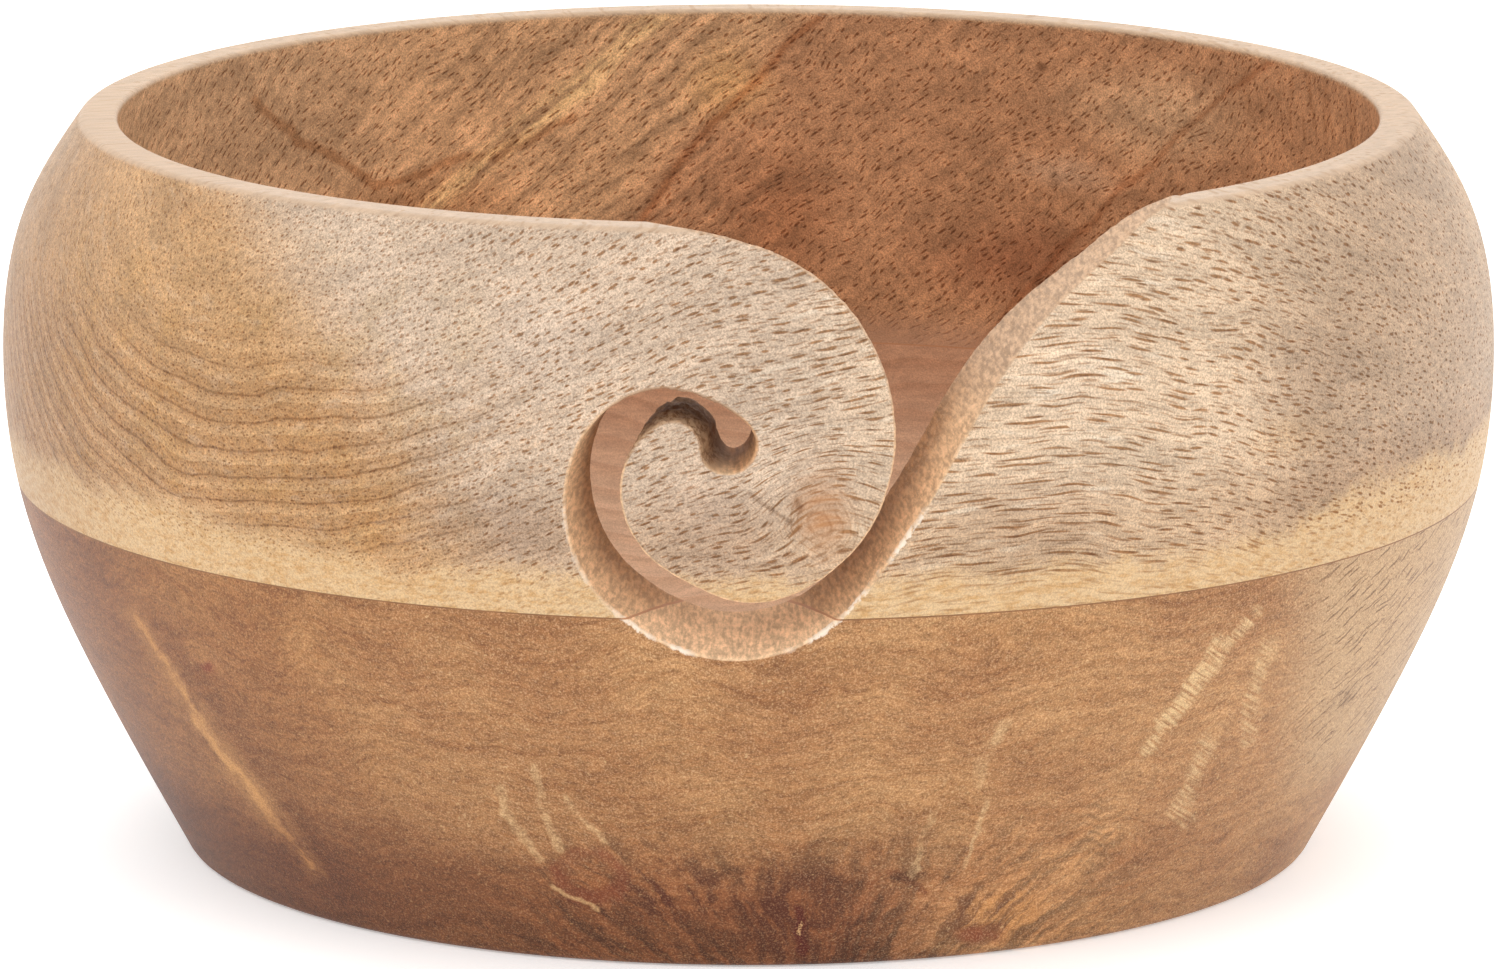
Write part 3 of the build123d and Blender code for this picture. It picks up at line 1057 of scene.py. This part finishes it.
def add_torn_streaks(p, color, broken):
    """Pale torn fibres: a long feather on the left, combed ones on the right, thin ones above the foot."""
    color = p.tint(color, (0.66, 0.54, 0.46), p.stroke((-58.5, 31), (-40.5, 5), 4.0) * 0.5)
    color = p.mix(color, shade(206, 156, 112), p.stroke((-61, 31), (-43.5, 6), 2.4) * broken * 0.6)
    color = p.mix(color, shade(228, 176, 126), p.stroke((-61, 31), (-43.5, 6), 0.7) * (broken * 0.6 + 0.3))
    comb = p.step(p.noise(p.vector(p.x / 3, 0.0, (p.z + p.x * 0.9) / 0.55), 1, 3.0, 0.6), 0.36, 0.62)
    combed = sum(p.stroke(start, end, width) * share for start, end, width, share in (
        ((49.2, 35), (38.9, 21.5), 1.1, 1.0), ((45.5, 32.4), (40.3, 24.4), 0.8, 1.0),
        ((50.8, 31), (48.8, 20.0), 1.4, 0.7), ((45, 20.5), (42.5, 13), 1.5, 0.7)))
    color = p.mix(color, PALE_FIBRES_AND_GLINT, p.capped(combed * comb) * 0.85)
    thin = sum(p.stroke(start, end, width) for start, end, width in (
        ((24.6, 27), (22.4, 19.5), 0.8), ((19.5, 20), (15.5, 10), 0.4), ((23.5, 18.5), (21, 11), 0.4),
        ((-24.5, 19.5), (-20.5, 11), 0.6), ((-21.5, 22), (-18.5, 13), 0.7), ((-18, 19), (-13, 13.5), 0.5)))
    color = p.mix(color, PALE_FIBRES_AND_GLINT, p.capped(thin * broken) * (p.fleck * 0.45 + 0.15))
    swirl = p.math("SINE", p.dz * 5.5 + p.math("SINE", p.dx * 1.3) * 2.2)
    return p.gain(color, swirl * p.spot((34, -54, 13), (4.5, 9, 6), 0.6) * 0.16 + 1.0)


def add_foot_knots(p, color, broken):
    """Two small knots, dark patches and a crack near the foot, and a few single marks."""
    heart = p.spot((-15.6, -61, 9.6), (4.6, 12, 3.9), 0.25)
    core = p.spot((-15.2, -61, 9.9), (3.3, 12, 2.5), 0.5)
    color = p.mix(color, shade(150, 80, 52), heart * (1 - core) * (broken * 0.4 + 0.35))
    color = p.mix(color, shade(176, 112, 70), core * p.fleck * 0.7)
    color = p.mix(color, PALE_FIBRES_AND_GLINT, p.stroke((-19.5, 8.0), (-14.5, 6.0), 0.4) * 0.9)
    patch = sum(p.spot(centre, size, soft) * share for centre, size, soft, share in (
        ((-7.0, -61, 8.4), (8, 14, 4.6), 0.9, 1.0), ((4.2, -60, 6), (8, 14, 9), 1.0, 1.0),
        ((22, -57, 5), (9, 14, 4), 1.0, 0.6), ((-44, -40, 6), (14, 20, 5), 1.0, 0.5)))
    color = p.mix(color, shade(112, 60, 38), p.capped(patch) * p.step(p.fan, 0.9, 0.25))
    color = p.mix(color, shade(110, 40, 24), p.stroke((5.0, 6.6), (4.6, 1.6), 0.8) * 0.9)
    color = p.mix(color, PALE_FIBRES_AND_GLINT, p.stroke((4.9, 5.2), (4.8, 3.4), 0.3) * p.step(p.speckle_and_sparkle, 0.3, 0.7))
    color = p.mix(color, shade(222, 156, 96), p.spot((25, -54, 4.5), (6.5, 9, 4), 0.8) * p.fan * 0.7)
    second_knot = p.spot((22.4, -54, 2.6), (3.6, 9, 1.7), 0.8)
    color = p.mix(color, shade(144, 74, 46), second_knot * (broken * 0.5 + 0.4))
    color = p.tint(color, (0.66, 0.48, 0.38), p.stroke((14, 10.5), (17.5, 8), 0.7) * 0.8)
    color = p.mix(color, shade(146, 66, 42), p.spot((-52.8, -48, 28), (1.1, 5, 1.0), 0.8) * 0.8)
    color = p.tint(color, (0.66, 0.62, 0.60), p.spot((59, -35, 21), (2.8, 7, 2.8), 0.8) * p.fleck)
    return p.tint(color, (0.68, 0.63, 0.60), p.spot((52, -34, 8.7), (3.6, 7, 2.0), 0.8) * p.fleck)


def lower_hollow(p):
    """Growth rings of a plank whose heart lay below it, cut through by the round hollow."""
    color = p.mix(shade(206, 170, 140), shade(186, 142, 111), p.step(p.z, 20, 36))
    sway = p.noise(p.place, 24, 2.0) * 16 - 8
    heart_away = p.vector_math("LENGTH", p.vector(0.0, p.y + sway, p.z + p.x * 0.16 + 34))
    year = p.math("FRACT", heart_away / 2.6)
    color = p.tint(color, (0.80, 0.70, 0.62), p.step(year, 0.25, 0.95) * p.step(year, 1.0, 0.95) * 0.45)
    grain = p.noise(p.vector(p.x / 9, (p.y + sway) / 0.7, p.z / 0.7), 1, 4.0, 0.65)
    color = p.gain(color, p.step(grain, 0.3, 0.7) * 0.24 + 0.88)
    return p.gain(color, p.speckle_and_sparkle * 0.26 + 0.87)


def lower_wood():
    """The lower plank's material."""
    p = Wood("lower_wood", 12, 5, 0.68)
    broken = p.step(p.noise(p.place, 3.5, 4.0, 0.7), 0.34, 0.56)
    color, pores = add_lower_pores(p, lower_outside(p))
    color = add_torn_streaks(p, color, broken)
    color = add_foot_knots(p, color, broken)
    color = p.gain(color, p.speckle_and_sparkle * 0.52 + 0.72)
    # Painted sparkle: the brightest specks paled towards cream as small painted highlights
    color = p.mix(color, shade(240, 214, 190), p.step(p.speckle_and_sparkle, 0.6, 1.0) * 0.22)
    # Painted glints: tiny pale highlight specks
    glint = p.step(p.noise(p.place, 0.4, 1.0), 0.68, 0.78)
    color = p.mix(color, PALE_FIBRES_AND_GLINT, glint * 0.5)
    color = p.tint(color, (0.80, 0.81, 0.68), 1.0)
    # Painted shade: the left side darker, most of all at its far left edge
    color = p.tint(color, (0.80, 0.70, 0.58), p.step(p.dx, -26, -52))
    color = p.tint(color, (0.77, 0.67, 0.56), p.step(p.x, -50, -64))
    color = p.tint(color, (0.72, 0.60, 0.52), p.step(p.dz, 16, 6) * p.step(p.dx, 20, 4))
    color = p.mix(color, lower_hollow(p), p.inside)
    color, rough_cut = saw_cut(p, color, shade(222, 186, 148), shade(222, 186, 148))
    height = (p.speckle_and_sparkle * 0.5 - pores * 0.5) * (1 - p.cut) + rough_cut * p.cut
    return p.finish(color, 0.46 + p.cut * 0.3, height, 0.3)


def dried_glue():
    """Dark on the turned surface, and hardly darker than the wood on the sawn and the inner faces."""
    p = Paint("glue")
    color = p.gain(shade(128, 88, 56), p.noise(p.place, 1.5) * 0.8 + 0.6)
    hidden = p.math("MAXIMUM", p.mask("inside"), p.mask("cut"))
    color = p.mix(color, shade(186, 134, 98), hidden * 0.9)
    return p.finish(color, 0.5, p.noise(p.place, 0.5), 0.1)


# ------------
# Pieces
# ------------
def add_piece(piece, node, material):
    """Gives the piece its material, and lets it stand for its CAD solid."""
    piece.data.materials.append(material)
    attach(piece, "root")
    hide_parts(node)


whole = shell_mesh(build_shell())
upper = cut_piece(whole, "upper_plank", low=GLUE_HIGH)
lower = cut_piece(whole, "lower_plank", high=GLUE_LOW)
glue = cut_piece(whole, "glue_film", low=GLUE_LOW, high=GLUE_HIGH)
whole.free()

add_piece(upper, "upper_ring", upper_wood())
add_piece(lower, "lower_bowl", lower_wood())
add_piece(glue, "glue_line", dried_glue())


# ------------
# Studio, in metres
# ------------
STAGE_DROP = 0.0001  # keeps the floor clear of the flat foot
STAGE_FRONT = -3.0
STAGE_BEND = 1.2  # where the floor starts to sweep up behind the bowl
STAGE_SWEEP = 1.0  # radius of the sweep
STAGE_TOP = 4.0
STAGE_HALF_WIDTH = 4
STAGE_GLOW = 0.34  # lifts the floor's grey to nearly white

LAMPS = {  # place, size and power of each
    "key": ((-0.9, -1.3, 1.6), 1.4, 7),
    "fill": ((1.3, -1.1, 1.0), 1.6, 5),
    "top": ((0.0, 0.2, 1.8), 1.6, 10),
}

CAMERA_PLACE = (0, -1.0362, 0.2523)
CAMERA_DIP = 11.785  # degrees below level
CAMERA_TURN = -0.008  # degrees to the left
CAMERA_LENS = 247.9


def plain_material(name, color, roughness):
    """A material of one colour."""
    material = bpy.data.materials.new(name)
    material.use_nodes = True
    shader = material.node_tree.nodes["Principled BSDF"]
    shader.inputs["Base Color"].default_value = (*color, 1)
    shader.inputs["Roughness"].default_value = roughness
    return material


def add_stage():
    """Pale floor and backdrop in one sweep."""
    bm = bmesh.new()
    profile = [(STAGE_FRONT, -STAGE_DROP), (STAGE_BEND, -STAGE_DROP)]
    profile += [(STAGE_BEND + STAGE_SWEEP * math.sin(a), STAGE_SWEEP * (1 - math.cos(a)) - STAGE_DROP)
                for a in np.radians(np.arange(5, 91, 5))]
    profile += [(STAGE_BEND + STAGE_SWEEP, STAGE_TOP)]
    rows = [[bm.verts.new((x, y, z)) for x in (-STAGE_HALF_WIDTH, STAGE_HALF_WIDTH)] for y, z in profile]
    for a, b in zip(rows, rows[1:]):
        bm.faces.new((a[0], a[1], b[1], b[0])).smooth = True
    mesh = bpy.data.meshes.new("stage")
    bm.to_mesh(mesh)
    bm.free()
    stage = bpy.data.objects.new("stage", mesh)
    paper = plain_material("stage", (0.93, 0.93, 0.93), 0.9)
    shader = paper.node_tree.nodes["Principled BSDF"]
    shader.inputs["Emission Color"].default_value = (1, 1, 1, 1)
    shader.inputs["Emission Strength"].default_value = STAGE_GLOW
    stage.data.materials.append(paper)
    bpy.context.scene.collection.objects.link(stage)


def add_light(name, place, target, size, power):
    """A soft round lamp that points at the target."""
    lamp = bpy.data.lights.new(name, "AREA")
    lamp.shape = "DISK"
    lamp.size = size
    lamp.energy = power
    light = bpy.data.objects.new(name, lamp)
    light.location = place
    light.rotation_euler = (Vector(target) - Vector(place)).to_track_quat("-Z", "Y").to_euler()
    bpy.context.scene.collection.objects.link(light)


def add_world():
    """White light from all round, and colours shown as they are."""
    world = bpy.data.worlds.new("world")
    bpy.context.scene.world = world
    world.use_nodes = True
    world.node_tree.nodes["Background"].inputs["Color"].default_value = (1, 1, 1, 1)
    world.node_tree.nodes["Background"].inputs["Strength"].default_value = 1.0
    bpy.context.scene.view_settings.view_transform = "Standard"


def add_camera():
    """A long lens from a little above, filling the frame with the bowl."""
    camera = bpy.data.objects.new("camera", bpy.data.cameras.new("camera"))
    camera.data.lens = CAMERA_LENS
    camera.data.sensor_width = 36
    camera.data.clip_end = 20
    camera.location = CAMERA_PLACE
    camera.rotation_euler = (math.radians(90 - CAMERA_DIP), 0, math.radians(CAMERA_TURN))
    bpy.context.scene.collection.objects.link(camera)
    bpy.context.scene.camera = camera


add_stage()
for name, (place, size, power) in LAMPS.items():
    add_light(name, place, (0, 0, HEIGHT * M / 2), size, power)
add_world()
add_camera()
